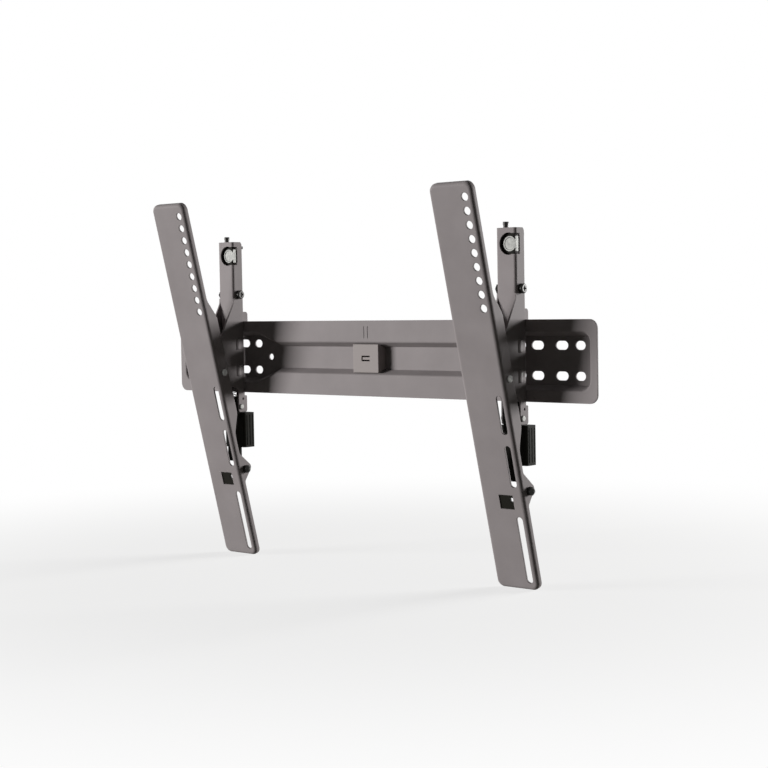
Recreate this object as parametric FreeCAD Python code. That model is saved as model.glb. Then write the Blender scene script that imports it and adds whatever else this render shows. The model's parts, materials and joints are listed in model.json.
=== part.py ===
"""Tilting wall mount for a flat screen: a pressed wall plate and two hook arms with tilting brackets.

Millimetres. X runs to the right along the wall plate, Y into the wall, Z up. The origin is the middle of
the wall plate on the wall. Both arms are the same set of pieces, so each piece is made once about x = 0
and then set at both arms. The brackets lean forward by TILT, as they hang in use.
"""
import FreeCAD, Part
import math
import os
from FreeCAD import Vector

# Clearances
RUN_GAP = 0.3          # between pieces that slide past each other
ARM_GAP = 0.5          # between the arms and the front of the wall plate
PIN_GAP = 0.08         # round a pin or shank in its hole
SEAT_GAP = 0.2         # under a screw head or beside a washer
SAME_PLACE = 1e-4      # two places this close count as one

# Wall plate, pressed from sheet
PLATE_LENGTH = 650.0
PLATE_HEIGHT = 90.0
PLATE_SHEET = 2.0
PLATE_STANDOFF = 14.0  # wall to the front of the two bands
PLATE_CORNER = 10.0
GROOVE_HEIGHT = 38.0
POCKET_HEIGHT = 64.0
POCKET_MARGIN = 9.0    # pocket to the end of the plate
POCKET_LENGTH = 132.0  # full-height stretch of a pocket
POCKET_TAPER = 36.0    # stretch that narrows to the groove
PRESS_SLOPE = 0.46     # lean of the pressed sides, per mm of depth
PRESS_CORNER = 12.0
PRESS_EDGE = 2.4       # rounding of the pressed edges
SLOT_WIDTH = 9.7
SLOT_ROWS = 33.2       # spacing of the two rows of slots
SLOT_LONG = 16.3
SLOT_SHORT = 13.0
SLOTS_FROM_END = (
    (29.0, SLOT_SHORT), (53.0, SLOT_LONG), (85.0, SLOT_LONG), (109.0, SLOT_LONG), (133.0, SLOT_SHORT),
)
NECK_HOLE_R = 4.0
NECK_HOLE_FROM_END = 155.0
MARK_SPACING = 5.6     # two lines cut at the middle of the upper band
MARK_LINE = 0.9
MARK_HEIGHT = 14.0
MARK_DEPTH = 0.4
MARK_FROM_TOP = 14.0   # middle of the mark

# Level block in the middle of the groove
BLOCK_LENGTH = 40.0
BLOCK_HEIGHT = 34.4
BLOCK_BACK_HEIGHT = 25.2
BLOCK_PROUD = 1.0      # in front of the bands
BLOCK_WALL = 2.2
BLOCK_EDGE = 0.7
TONGUE_LENGTH = 12.6
TONGUE_HEIGHT = 6.4
TONGUE_SLIT = 1.6

# Hook arm, a folded channel
ARM_SPACING = 439.0
ARM_WIDTH = 26.0
ARM_DEPTH = 16.6       # front of the channel to the wall plate's bands
ARM_SHEET = 2.0
ARM_TOP = 145.0
ARM_BOTTOM = -69.8
ARM_BEND = 3.0
CHEEK_TOP = 68.0       # where the cheeks start to flare
CHEEK_RUN = 70.0       # height over which they reach the pivot's lobe
CHEEK_ROUND = 12.0
FOLD_ABOVE_FLARE = 6.0 # where the folds start to be round
ARM_CORNER = 4.0
LOBE_R = 8.3
LOBE_SHOULDER = 20.0
FOOT_TOP = -40.0
FOOT_SHOULDER = 6.0
FOOT_CORNER = 3.0
FOOT_MARGIN = 4.0      # cheek in front of the latch pin
FOOT_REACH = 3.4       # cheek behind the bands' front, below the wall plate
FOOT_STEP_GAP = 1.0    # left under the wall plate when the arm is highest
FOOT_STEP_ROUND = 1.5
WEB_TIP = 8.0          # width of the web's lower tip
WEB_BOTTOM = 18.0
WEB_CORNER = 3.0
WINDOW_R = 12.0
WINDOW_X = 3.8
WINDOW_FROM_TOP = 17.5
SIDE_WINDOW_HEIGHT = 22.5
SIDE_WINDOW_DEPTH = 8.0
BEAD_R = 8.0
BEAD_RISE = 1.0
BEAD_HEIGHT = 14.0
BEAD_FROM_BAND = 10.0
BEAD_ROWS = (16.5, -16.5)
FOOT_HOLE_R = 1.5
FOOT_HOLE_FROM_BAND = 3.5
FOOT_HOLE_RISE = 16.8

# Hook carriage inside the arm
CARRIAGE_SHEET = 2.0
CARRIAGE_TOP_GAP = 2.0 # left under the arm's top when the arm is lowest
CARRIAGE_BOTTOM = 25.0
CARRIAGE_BACK_GAP = 1.0
CARRIAGE_CORNER = 2.0
HOOK_RISE = 12.0       # metal above the wall plate's top edge
HOOK_DROP = 9.0        # reach behind the upper band
HOOK_WALL_GAP = 2.5
HOOK_ROUND = 4.0
HOOK_ROOT_ROUND = 2.0
HOOK_TIP_ROUND = 1.5
LEVEL_TRAVEL = 3.0     # up and down from the middle

# Level plate and level screw
LEVEL_SHEET = 2.0
LEVEL_DISC_R = 8.8
LEVEL_DISH = 0.5       # depth of the disc's dished front
LEVEL_NECK = 8.4
LEVEL_BAR_WIDTH = 3.6
LEVEL_BAR_HEIGHT = 30.0
SCREW_R = 2.5
SCREW_HEAD_R = 3.3
SCREW_HEAD_HEIGHT = 3.6
SCREW_COLLAR_R = 2.9
SCREW_COLLAR_HEIGHT = 3.0
SCREW_LENGTH = 24.0
SCREW_FROM_BAND = 7.6
SCREW_X = -6.0
SCREW_SLOT = 1.2

# Lock bolt through the arm
LOCK_R = 3.0
LOCK_HEAD_R = 5.5
LOCK_HEAD_HEIGHT = 4.6
LOCK_Z = 78.8
LOCK_FROM_BAND = 7.0
LOCK_NUT_WIDTH = 10.0
LOCK_NUT_HEIGHT = 5.0
LOCK_RECESS = 1.6

# Rivets
RIVET_DOME = 0.7       # rounded share of a head's height

# Tilt pivot
PIVOT_FORWARD = 29.75  # pivot in front of the channel
PIVOT_Z = -17.5
PIVOT_R = 3.0
PIVOT_HEAD_R = 4.2
PIVOT_HEAD_HEIGHT = 1.8
SLEEVE_R = 5.0
WASHER_R = 7.5
WASHER_THICKNESS = 0.8
TILT = 14.4

# Tilting bracket, a pressed pan
BRACKET_SHEET = 2.0
BRACKET_HEIGHT = 457.2
BRACKET_WIDTH = 56.7
BRACKET_REACH = 24.7   # arm's middle to the bracket's right edge
BRACKET_ABOVE_PIVOT = 216.2
BRACKET_CORNER = 9.0
BRACKET_EDGE = 4.2
PIVOT_BEHIND_FACE = 11.0
FLANGE_DEPTH = 7.6
EAR_DEPTH = 18.0
EAR_ABOVE = 70.0
EAR_BELOW = 56.0
EAR_SWEEP = 23.0       # height of the S-shaped run from flange to ear
EAR_ROUND = 20.0
HOLE_R = 4.5
HOLE_COUNT = 9
HOLE_PITCH = 15.0
HOLE_FROM_TOP = 15.6
HOLE_FROM_EDGE = 9.9
SLOT_W = 8.2
FACE_SLOTS = ((232.1, 44.0), (288.7, 47.8), (370.6, 77.6))  # upper end below the top edge, length
SQUARE_WIDTH = 18.8
SQUARE_HEIGHT = 16.4
SQUARE_FROM_TOP = 345.8
SQUARE_FROM_EDGE = 14.0
LUG_DEPTH = 24.0
LUG_TIP_FROM_TOP = 344.0
LUG_ABOVE = 22.0
LUG_BELOW = 15.0
LUG_ROUND = 5.0

# Screw in the lug, and the insert behind the square hole
LUG_SCREW_R = 2.5
LUG_SCREW_FROM_TIP = 11.5
LUG_HEAD_R = 4.8
LUG_HEAD_HEIGHT = 4.0
LUG_POINT_R = 1.3
LUG_POINT_HEIGHT = 3.0
LUG_SHANK = 6.0
INSERT_RIM = 2.0
INSERT_RIM_SHEET = 2.0
INSERT_RECESS = 1.0
INSERT_NOTCH = 5.0

# Release latch
LATCH_BELOW_ARM = 1.0
LATCH_WIDTH = 36.0
LATCH_HEIGHT = 44.0
LATCH_FRONT = 7.0      # in front of the bands
LATCH_WALL_GAP = 2.5
LATCH_ROUND = 3.0
LATCH_TRAVEL = 7.5
STEM_DEPTH = 7.0
STEM_HEIGHT = 20.5
TOOTH_WIDTH = 9.0
TOOTH_OFFSET = -0.5
TOOTH_DEPTH = 6.0
TOOTH_BEHIND_BAND = 7.0
LATCH_GROOVES = 3      # grip grooves down each side
GROOVE_PITCH = 5.0
GROOVE_WIDTH = 1.4
GROOVE_DEPTH = 0.6
PULL_WIDTH = 21.0
PULL_DEPTH = 4.0
PULL_HEIGHT = 18.0
LATCH_PIN_R = 2.5
LATCH_PIN_HEAD_R = 3.4
LATCH_PIN_HEAD_HEIGHT = 1.6
LATCH_PIN_RISE = 6.8   # above the foot of the arm

# Latch spring
SPRING_PIN_R = 2.0
SPRING_PIN_Z = -14.0
SPRING_COIL_R = 3.2
SPRING_WIRE = 1.0
SPRING_TURNS = 7

# Places worked out from the sizes above
BAND_FRONT = -PLATE_STANDOFF
BAND_BACK = BAND_FRONT + PLATE_SHEET
PLATE_TOP = PLATE_HEIGHT / 2
ARM_HALF = ARM_WIDTH / 2
ARM_INNER = ARM_HALF - ARM_SHEET
ARM_BACK = BAND_FRONT - ARM_GAP
ARM_FRONT = BAND_FRONT - ARM_DEPTH
PIVOT_Y = ARM_FRONT - PIVOT_FORWARD
PIVOT = Vector(0, PIVOT_Y, PIVOT_Z)
LEVEL_FRONT = ARM_FRONT + ARM_SHEET + RUN_GAP
WINDOW_Z = ARM_TOP - WINDOW_FROM_TOP
CARRIAGE_TOP = ARM_TOP - ARM_SHEET - LEVEL_TRAVEL - CARRIAGE_TOP_GAP
CARRIAGE_FRONT = LEVEL_FRONT + LEVEL_SHEET
CARRIAGE_BACK = ARM_BACK - CARRIAGE_BACK_GAP
CARRIAGE_LEFT = RUN_GAP - ARM_INNER
CARRIAGE_RIGHT = ARM_INNER - RUN_GAP - LEVEL_SHEET
SCREW_Y = BAND_FRONT - SCREW_FROM_BAND
LOCK_Y = BAND_FRONT - LOCK_FROM_BAND
FACE_Y = PIVOT_Y - PIVOT_BEHIND_FACE
FACE_TOP = PIVOT_Z + BRACKET_ABOVE_PIVOT
FLANGE_BACK = FACE_Y + FLANGE_DEPTH
BRACKET_RIGHT = BRACKET_REACH
BRACKET_LEFT = BRACKET_RIGHT - BRACKET_WIDTH
BRACKET_MIDDLE = (BRACKET_LEFT + BRACKET_RIGHT) / 2
HOLE_X = BRACKET_RIGHT - HOLE_FROM_EDGE
SQUARE_X = BRACKET_RIGHT - SQUARE_FROM_EDGE - SQUARE_WIDTH / 2
SQUARE_Z = FACE_TOP - SQUARE_FROM_TOP - SQUARE_HEIGHT / 2
LUG_TIP = Vector(0, FACE_Y + LUG_DEPTH, FACE_TOP - LUG_TIP_FROM_TOP)
LATCH_FRONT_Y = BAND_FRONT - LATCH_FRONT
LATCH_PIN_Z = ARM_BOTTOM + LATCH_PIN_RISE
LATCH_TOP = ARM_BOTTOM - LATCH_BELOW_ARM
STEM_TOP = LATCH_TOP + STEM_HEIGHT


def in_front(y):
    """Put flat coordinates on the upright plane at y: across is X, up is Z."""
    return lambda a, b: Vector(a, y, b)


def from_side(x):
    """Put flat coordinates on the plane at x: across is Y, up is Z."""
    return lambda a, b: Vector(x, a, b)


def in_plan(z):
    """Put flat coordinates on the level plane at z: across is X, on is Y."""
    return lambda a, b: Vector(a, b, z)


def outline(corners, place):
    """Closed wire through (across, up, radius) corners, each rounded by its own radius."""
    turns = []
    for index, (across, up, radius) in enumerate(corners):
        corner = Vector(across, up, 0)
        last = Vector(*corners[index - 1][:2], 0)
        following = Vector(*corners[(index + 1) % len(corners)][:2], 0)
        back = (last - corner).normalize()
        onward = (following - corner).normalize()
        half = back.getAngle(onward) / 2
        reach = radius / math.tan(half)
        crown = (back + onward).normalize() * (radius / math.sin(half) - radius)
        arc = (corner + back * reach, corner + crown, corner + onward * reach)
        turns.append([place(point.x, point.y) for point in arc])
    edges = []
    for index, (start, crown, end) in enumerate(turns):
        if corners[index][2] > 0:
            edges.append(Part.Arc(start, crown, end).toShape())
        following = turns[(index + 1) % len(turns)][0]
        if end.distanceToPoint(following) > SAME_PLACE:
            edges.append(Part.LineSegment(end, following).toShape())
    return Part.Wire(edges)


def inset_corners(corners, inset):
    """The same anticlockwise outline moved inwards, with its roundings kept concentric."""
    moved = []
    for index, (across, up, radius) in enumerate(corners):
        corner = Vector(across, up, 0)
        into = (corner - Vector(*corners[index - 1][:2], 0)).normalize()
        out = (Vector(*corners[(index + 1) % len(corners)][:2], 0) - corner).normalize()
        normals = Vector(-into.y, into.x, 0) + Vector(-out.y, out.x, 0)
        shift = normals * (inset / (1 + into.dot(out)))
        convex = into.cross(out).z > 0
        moved.append((across + shift.x, up + shift.y, radius - inset if convex else radius + inset))
    return moved


def rounded(across, up, width, height, radius):
    """Corners of a rounded rectangle about a centre."""
    right, top = across + width / 2, up + height / 2
    left, bottom = across - width / 2, up - height / 2
    return [(right, top, radius), (left, top, radius), (left, bottom, radius), (right, bottom, radius)]


def slab(corners, place, thickness):
    """Plate with a rounded outline, thickened along a vector."""
    return Part.Face(outline(corners, place)).extrude(thickness)


def block(x, y, z):
    """Box between pairs of low and high values."""
    return Part.makeBox(x[1] - x[0], y[1] - y[0], z[1] - z[0], Vector(x[0], y[0], z[0]))


def rod(radius, start, end):
    """Round bar between two points."""
    return Part.makeCylinder(radius, start.distanceToPoint(end), start, end - start)


def cross_rod(radius, left, right, y, z):
    """Round bar along X between two x values."""
    return rod(radius, Vector(left, y, z), Vector(right, y, z))


def edges_on_plane(shape, y):
    """Edges that lie in the upright plane at y."""
    def off_plane(box):
        return abs(box.YMin - y) + abs(box.YMax - y)

    return [edge for edge in shape.Edges if off_plane(edge.BoundBox) < SAME_PLACE]


def joined(first, *others):
    """One solid from pieces that meet, with the seams between flush faces removed."""
    return first.fuse(list(others)).removeSplitter()


def recess_corners():
    """Outline of the groove and its two pockets at the front of the bands."""
    end = PLATE_LENGTH / 2 - POCKET_MARGIN
    taper = end - POCKET_LENGTH
    neck = taper - POCKET_TAPER
    pocket, groove = POCKET_HEIGHT / 2, GROOVE_HEIGHT / 2
    right = [(end, pocket), (taper, pocket), (neck, groove)]
    upper = right + [(-across, up) for across, up in reversed(right)]
    lower = [(across, -up) for across, up in reversed(upper)]
    return [(across, up, PRESS_CORNER) for across, up in upper + lower]


def pressed_form(grow, floor):
    """Tapered body of the recess, grown sideways, from the bands' front to the floor."""
    front = inset_corners(recess_corners(), -grow)
    back = inset_corners(recess_corners(), PRESS_SLOPE * (floor - BAND_FRONT) - grow)
    return Part.makeLoft([outline(front, in_front(BAND_FRONT)), outline(back, in_front(floor))], True, True)


def wall_plate():
    """Pressed plate: two bands, a groove between them and a pocket with slots near each end."""
    sheet = Vector(0, PLATE_SHEET, 0)
    bands = slab(rounded(0, 0, PLATE_LENGTH, PLATE_HEIGHT, PLATE_CORNER), in_front(BAND_FRONT), sheet)
    side = PLATE_SHEET * math.hypot(1, PRESS_SLOPE)
    outer = pressed_form(side, 0)
    outer = outer.makeFillet(PRESS_EDGE, edges_on_plane(outer, 0))
    plate = bands.fuse(outer).cut(pressed_form(0, -PLATE_SHEET))
    rim_x = PLATE_LENGTH / 2 - POCKET_MARGIN + PRESS_EDGE
    rim_z = POCKET_HEIGHT / 2 + PRESS_EDGE
    rim = [edge for edge in edges_on_plane(plate, BAND_FRONT) if abs(edge.CenterOfMass.x) < rim_x
           and edge.BoundBox.ZMax < rim_z and edge.BoundBox.ZMin > -rim_z]
    plate = plate.makeFillet(PRESS_EDGE, rim)
    through = Vector(0, PLATE_STANDOFF, 0)
    cutters = []
    for side in (-1, 1):
        for from_end, length in SLOTS_FROM_END:
            across = side * (PLATE_LENGTH / 2 - from_end)
            for row in (-SLOT_ROWS / 2, SLOT_ROWS / 2):
                hole = rounded(across, row, length, SLOT_WIDTH, SLOT_WIDTH / 2)
                cutters.append(slab(hole, in_front(-PLATE_STANDOFF / 2), through))
        neck = side * (PLATE_LENGTH / 2 - NECK_HOLE_FROM_END)
        cutters.append(rod(NECK_HOLE_R, Vector(neck, BAND_FRONT, 0), Vector(neck, PLATE_STANDOFF, 0)))
        line = rounded(side * MARK_SPACING / 2, PLATE_TOP - MARK_FROM_TOP, MARK_LINE, MARK_HEIGHT, 0)
        cutters.append(slab(line, in_front(BAND_FRONT), Vector(0, MARK_DEPTH, 0)))
    return plate.cut(cutters)


def level_block():
    """Moulded cap that stands on the groove's floor, with a spring tongue slit into its face."""
    front = BAND_FRONT - BLOCK_PROUD
    floor = -PLATE_SHEET

    def form(wall):
        faces = ((front + wall, BLOCK_HEIGHT), (floor, BLOCK_BACK_HEIGHT))
        length = BLOCK_LENGTH - 2 * wall
        wires = [outline(rounded(0, 0, length, height - 2 * wall, 0), in_front(y)) for y, height in faces]
        return Part.makeLoft(wires, True, True)

    outer = form(0)
    outer = outer.makeFillet(BLOCK_EDGE, edges_on_plane(outer, front))
    slit = (front - BLOCK_PROUD, front + 2 * BLOCK_WALL)
    half_length, half_height = TONGUE_LENGTH / 2, TONGUE_HEIGHT / 2
    cutters = [block((-half_length, TONGUE_SLIT - half_length), slit, (-half_height, half_height))]
    for low in (-half_height, half_height - TONGUE_SLIT):
        cutters.append(block((-half_length, half_length), slit, (low, low + TONGUE_SLIT)))
    return outer.cut([form(BLOCK_WALL)] + cutters)


def hook_carriage():
    """Folded carriage: a web, two walls hooked over the plate's top edge and a tab for the level screw."""
    hook_top = PLATE_TOP + HOOK_RISE
    hook_seat = PLATE_TOP + RUN_GAP
    nose_front = BAND_BACK + RUN_GAP
    wall = [
        (CARRIAGE_FRONT, CARRIAGE_TOP, 0), (CARRIAGE_FRONT, CARRIAGE_BOTTOM, 0),
        (ARM_BACK, CARRIAGE_BOTTOM, CARRIAGE_CORNER),
        (ARM_BACK, hook_seat, 0), (nose_front, hook_seat, 0),
        (nose_front, PLATE_TOP - HOOK_DROP, HOOK_TIP_ROUND),
        (-HOOK_WALL_GAP, PLATE_TOP - HOOK_DROP, HOOK_ROUND), (-HOOK_WALL_GAP, hook_top, HOOK_ROUND),
        (CARRIAGE_BACK, hook_top, HOOK_ROOT_ROUND), (CARRIAGE_BACK, CARRIAGE_TOP, CARRIAGE_CORNER),
    ]
    sheet = Vector(CARRIAGE_SHEET, 0, 0)
    left = slab(wall, from_side(CARRIAGE_LEFT), sheet)
    right = slab(wall, from_side(CARRIAGE_RIGHT - CARRIAGE_SHEET), sheet)
    across = (CARRIAGE_LEFT, CARRIAGE_RIGHT)
    web = block(across, (CARRIAGE_FRONT, CARRIAGE_FRONT + CARRIAGE_SHEET), (CARRIAGE_BOTTOM, CARRIAGE_TOP))
    tab = block(across, (CARRIAGE_FRONT, CARRIAGE_BACK - CARRIAGE_SHEET),
                (CARRIAGE_TOP - CARRIAGE_SHEET, CARRIAGE_TOP))
    carriage = joined(left, right, web, tab)
    width = 2 * (LOCK_R + PIN_GAP)
    slot = rounded(LOCK_Y, LOCK_Z, width, width + 2 * (LEVEL_TRAVEL + RUN_GAP), width / 2)
    bolt_slot = slab(slot, from_side(-ARM_HALF), Vector(ARM_WIDTH, 0, 0))
    thread = rod(SCREW_R + PIN_GAP, Vector(SCREW_X, SCREW_Y, CARRIAGE_BOTTOM),
                 Vector(SCREW_X, SCREW_Y, ARM_TOP))
    return carriage.cut([bolt_slot, thread])


def level_plate():
    """Plate on the carriage: a disc in the arm's window, a neck round the fold and a bar at the side."""
    right = CARRIAGE_RIGHT + LEVEL_SHEET
    front, back = Vector(WINDOW_X, LEVEL_FRONT, WINDOW_Z), Vector(WINDOW_X, CARRIAGE_FRONT, WINDOW_Z)
    dish = Vector(0, LEVEL_DISH, 0)
    disc = rod(LEVEL_DISC_R, front, back)
    disc = disc.cut(rod(LEVEL_DISC_R - LEVEL_SHEET, front - dish, front + dish))
    neck_low = WINDOW_X + LEVEL_DISC_R - LEVEL_SHEET
    neck = block((min(neck_low, CARRIAGE_RIGHT), right), (LEVEL_FRONT, CARRIAGE_FRONT),
                 (WINDOW_Z - LEVEL_NECK / 2, WINDOW_Z + LEVEL_NECK / 2))
    bar = block((CARRIAGE_RIGHT, right), (LEVEL_FRONT, LEVEL_FRONT + LEVEL_BAR_WIDTH),
                (WINDOW_Z - LEVEL_BAR_HEIGHT / 2, min(WINDOW_Z + LEVEL_BAR_HEIGHT / 2, CARRIAGE_TOP)))
    return joined(disc, neck, bar)


def level_screw():
    """Slotted screw that stands on the arm's top and runs down through the carriage's tab."""
    foot = Vector(SCREW_X, SCREW_Y, ARM_TOP - SCREW_LENGTH)
    collar = Vector(SCREW_X, SCREW_Y, ARM_TOP + SEAT_GAP)
    head = collar + Vector(0, 0, SCREW_COLLAR_HEIGHT)
    crown = head + Vector(0, 0, SCREW_HEAD_HEIGHT)
    top = rod(SCREW_HEAD_R, head, crown)
    rim = [edge for edge in top.Edges if edge.BoundBox.ZMin > head.z + SCREW_SLOT]
    top = top.makeFillet(SCREW_SLOT / 2, rim)
    screw = joined(rod(SCREW_R, foot, crown), rod(SCREW_COLLAR_R, collar, crown), top)
    drive = block((SCREW_X - SCREW_HEAD_R, SCREW_X + SCREW_HEAD_R),
                  (SCREW_Y - SCREW_SLOT / 2, SCREW_Y + SCREW_SLOT / 2),
                  (crown.z - SCREW_SLOT, crown.z + SCREW_SLOT))
    return screw.cut(drive)


def cheek(left):
    """One side wall of the arm: straight above, flared to the pivot and cut back at the foot."""
    lobe = PIVOT_Y - LOBE_R
    foot = LATCH_FRONT_Y - FOOT_MARGIN
    heel = BAND_FRONT + FOOT_REACH
    step = -PLATE_TOP - LEVEL_TRAVEL - FOOT_STEP_GAP
    corners = [
        (ARM_BACK, ARM_TOP, ARM_CORNER), (ARM_FRONT, ARM_TOP, 0), (ARM_FRONT, CHEEK_TOP, CHEEK_ROUND),
        (lobe, CHEEK_TOP - CHEEK_RUN, LOBE_SHOULDER), (lobe, PIVOT_Z - LOBE_R, LOBE_R),
        (foot, FOOT_TOP, FOOT_SHOULDER), (foot, ARM_BOTTOM, FOOT_CORNER), (heel, ARM_BOTTOM, FOOT_CORNER),
        (heel, step, FOOT_STEP_ROUND), (ARM_BACK, step, 0),
    ]
    return slab(corners, from_side(left), Vector(ARM_SHEET, 0, 0))


def cheek_bead(side, z):
    """Low half-round rib pressed outwards in a cheek beside the wall plate."""
    y = BAND_FRONT - BEAD_FROM_BAND
    axis = side * (ARM_HALF + BEAD_RISE - BEAD_R)
    low, high = Vector(axis, y, z - BEAD_HEIGHT / 2), Vector(axis, y, z + BEAD_HEIGHT / 2)
    outside = sorted((side * (ARM_HALF - ARM_SHEET / 2), side * (ARM_HALF + BEAD_RISE)))
    return rod(BEAD_R, low, high).common(block(outside, (y - BEAD_R, y + BEAD_R), (low.z, high.z)))


def fold_corner(side):
    """What a rounded fold leaves out of the channel's square corner, above the flare."""
    middle = side * (ARM_HALF - ARM_BEND)
    height = (CHEEK_TOP + FOLD_ABOVE_FLARE, ARM_TOP + ARM_SHEET)
    across = sorted((middle, side * (ARM_HALF + ARM_SHEET)))
    corner = block(across, (ARM_FRONT - ARM_SHEET, ARM_FRONT + ARM_BEND), height)
    return corner.cut(rod(ARM_BEND, Vector(middle, ARM_FRONT + ARM_BEND, height[0]),
                          Vector(middle, ARM_FRONT + ARM_BEND, height[1])))


def hook_arm():
    """Upright channel folded from one sheet, with its holes and the window across the right fold."""
    tip = WEB_TIP / 2
    web = [(ARM_HALF, ARM_TOP, 0), (-ARM_HALF, ARM_TOP, 0), (-ARM_HALF, CHEEK_TOP, 0),
           (-tip, WEB_BOTTOM, WEB_CORNER), (tip, WEB_BOTTOM, WEB_CORNER), (ARM_HALF, CHEEK_TOP, 0)]
    front = slab(web, in_front(ARM_FRONT), Vector(0, ARM_SHEET, 0))
    top = block((-ARM_HALF, ARM_HALF), (ARM_FRONT, ARM_BACK - ARM_SHEET), (ARM_TOP - ARM_SHEET, ARM_TOP))
    beads = [cheek_bead(side, z) for side in (-1, 1) for z in BEAD_ROWS]
    arm = joined(cheek(-ARM_HALF), cheek(ARM_INNER), front, top, *beads)
    half_window = SIDE_WINDOW_HEIGHT / 2
    window = rod(WINDOW_R, Vector(WINDOW_X, ARM_FRONT - ARM_SHEET, WINDOW_Z),
                 Vector(WINDOW_X, ARM_FRONT + ARM_SHEET, WINDOW_Z))
    side_window = block((WINDOW_X, ARM_WIDTH), (ARM_FRONT - ARM_SHEET, ARM_FRONT + SIDE_WINDOW_DEPTH),
                        (WINDOW_Z - half_window, WINDOW_Z + half_window))
    front_strip = block((WINDOW_X, ARM_INNER), (ARM_FRONT + ARM_SHEET, ARM_BACK),
                        (CHEEK_TOP, ARM_TOP - ARM_SHEET))
    holes = [
        window, side_window.cut(front_strip), fold_corner(-1), fold_corner(1),
        rod(SCREW_R + PIN_GAP, Vector(SCREW_X, SCREW_Y, CARRIAGE_TOP),
            Vector(SCREW_X, SCREW_Y, ARM_TOP + ARM_SHEET)),
        cross_rod(LOCK_R + PIN_GAP, -ARM_WIDTH, ARM_WIDTH, LOCK_Y, LOCK_Z),
        cross_rod(PIVOT_R + PIN_GAP, -ARM_WIDTH, ARM_WIDTH, PIVOT_Y, PIVOT_Z),
        cross_rod(LATCH_PIN_R + PIN_GAP, -ARM_WIDTH, ARM_WIDTH, LATCH_FRONT_Y, LATCH_PIN_Z),
        cross_rod(SPRING_PIN_R + PIN_GAP, -ARM_WIDTH, ARM_WIDTH, LATCH_FRONT_Y, SPRING_PIN_Z),
        cross_rod(FOOT_HOLE_R, -ARM_WIDTH, ARM_WIDTH, BAND_FRONT - FOOT_HOLE_FROM_BAND,
                  ARM_BOTTOM + FOOT_HOLE_RISE),
    ]
    return arm.cut(holes)


def lock_bolt():
    """Pan-head bolt with a cross recess, through both walls of the arm."""
    seat = ARM_HALF + SEAT_GAP
    crown = seat + LOCK_HEAD_HEIGHT
    head = cross_rod(LOCK_HEAD_R, seat, crown, LOCK_Y, LOCK_Z)
    rim = [edge for edge in head.Edges if edge.BoundBox.XMin > seat + LOCK_RECESS]
    head = head.makeFillet(LOCK_RECESS, rim)
    shank = cross_rod(LOCK_R, -ARM_HALF - LOCK_NUT_HEIGHT - LOCK_RECESS, crown - LOCK_RECESS, LOCK_Y, LOCK_Z)
    depth = (crown - LOCK_RECESS, crown + LOCK_RECESS)
    arm, half = LOCK_HEAD_R / 2, LOCK_RECESS / 2
    upright = block(depth, (LOCK_Y - half, LOCK_Y + half), (LOCK_Z - arm, LOCK_Z + arm))
    level = block(depth, (LOCK_Y - arm, LOCK_Y + arm), (LOCK_Z - half, LOCK_Z + half))
    return joined(head, shank).cut([upright, level])


def lock_nut():
    """Hexagon nut welded to the arm's left wall."""
    reach = LOCK_NUT_WIDTH / math.sqrt(3)
    turns = [math.radians(60 * number) for number in range(6)]
    hexagon = [(LOCK_Y + reach * math.cos(turn), LOCK_Z + reach * math.sin(turn), 0) for turn in turns]
    nut = slab(hexagon, from_side(-ARM_HALF - LOCK_NUT_HEIGHT), Vector(LOCK_NUT_HEIGHT, 0, 0))
    return nut.cut(cross_rod(LOCK_R + PIN_GAP, -ARM_WIDTH, ARM_WIDTH, LOCK_Y, LOCK_Z))


def rivet(radius, left, right, head_r, head_height, y, z):
    """Round pin along X with a domed head outside each end."""
    pieces = [cross_rod(radius, left - head_height / 2, right + head_height / 2, y, z)]
    for inner, outer in ((left, left - head_height), (right, right + head_height)):
        head = cross_rod(head_r, inner, outer, y, z)
        rim = [edge for edge in head.Edges if abs(edge.CenterOfMass.x - outer) < SAME_PLACE]
        pieces.append(head.makeFillet(head_height * RIVET_DOME, rim))
    return joined(*pieces)


def pivot_pin():
    """Rivet through both ears of the bracket and both cheeks of the arm."""
    return rivet(PIVOT_R, BRACKET_LEFT - SEAT_GAP, BRACKET_RIGHT + SEAT_GAP, PIVOT_HEAD_R, PIVOT_HEAD_HEIGHT,
                 PIVOT_Y, PIVOT_Z)


def ring(outer_r, inner_r, left, right, y, z):
    """Round tube along X."""
    return cross_rod(outer_r, left, right, y, z).cut(cross_rod(inner_r, left, right, y, z))


def pivot_sleeve():
    """Spacer tube on the pin between the arm's left cheek and the bracket's left ear."""
    left = BRACKET_LEFT + BRACKET_SHEET + SEAT_GAP
    return ring(SLEEVE_R, PIVOT_R + PIN_GAP, left, -ARM_HALF, PIVOT_Y, PIVOT_Z)


def pivot_washer():
    """Friction washer on the arm's right cheek."""
    return ring(WASHER_R, PIVOT_R + PIN_GAP, ARM_HALF, ARM_HALF + WASHER_THICKNESS, PIVOT_Y, PIVOT_Z)


def pivot_spacer():
    """Spacer tube on the pin between the washer and the bracket's right ear."""
    right = BRACKET_RIGHT - BRACKET_SHEET - SEAT_GAP
    return ring(SLEEVE_R, PIVOT_R + PIN_GAP, ARM_HALF + WASHER_THICKNESS, right, PIVOT_Y, PIVOT_Z)


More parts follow.
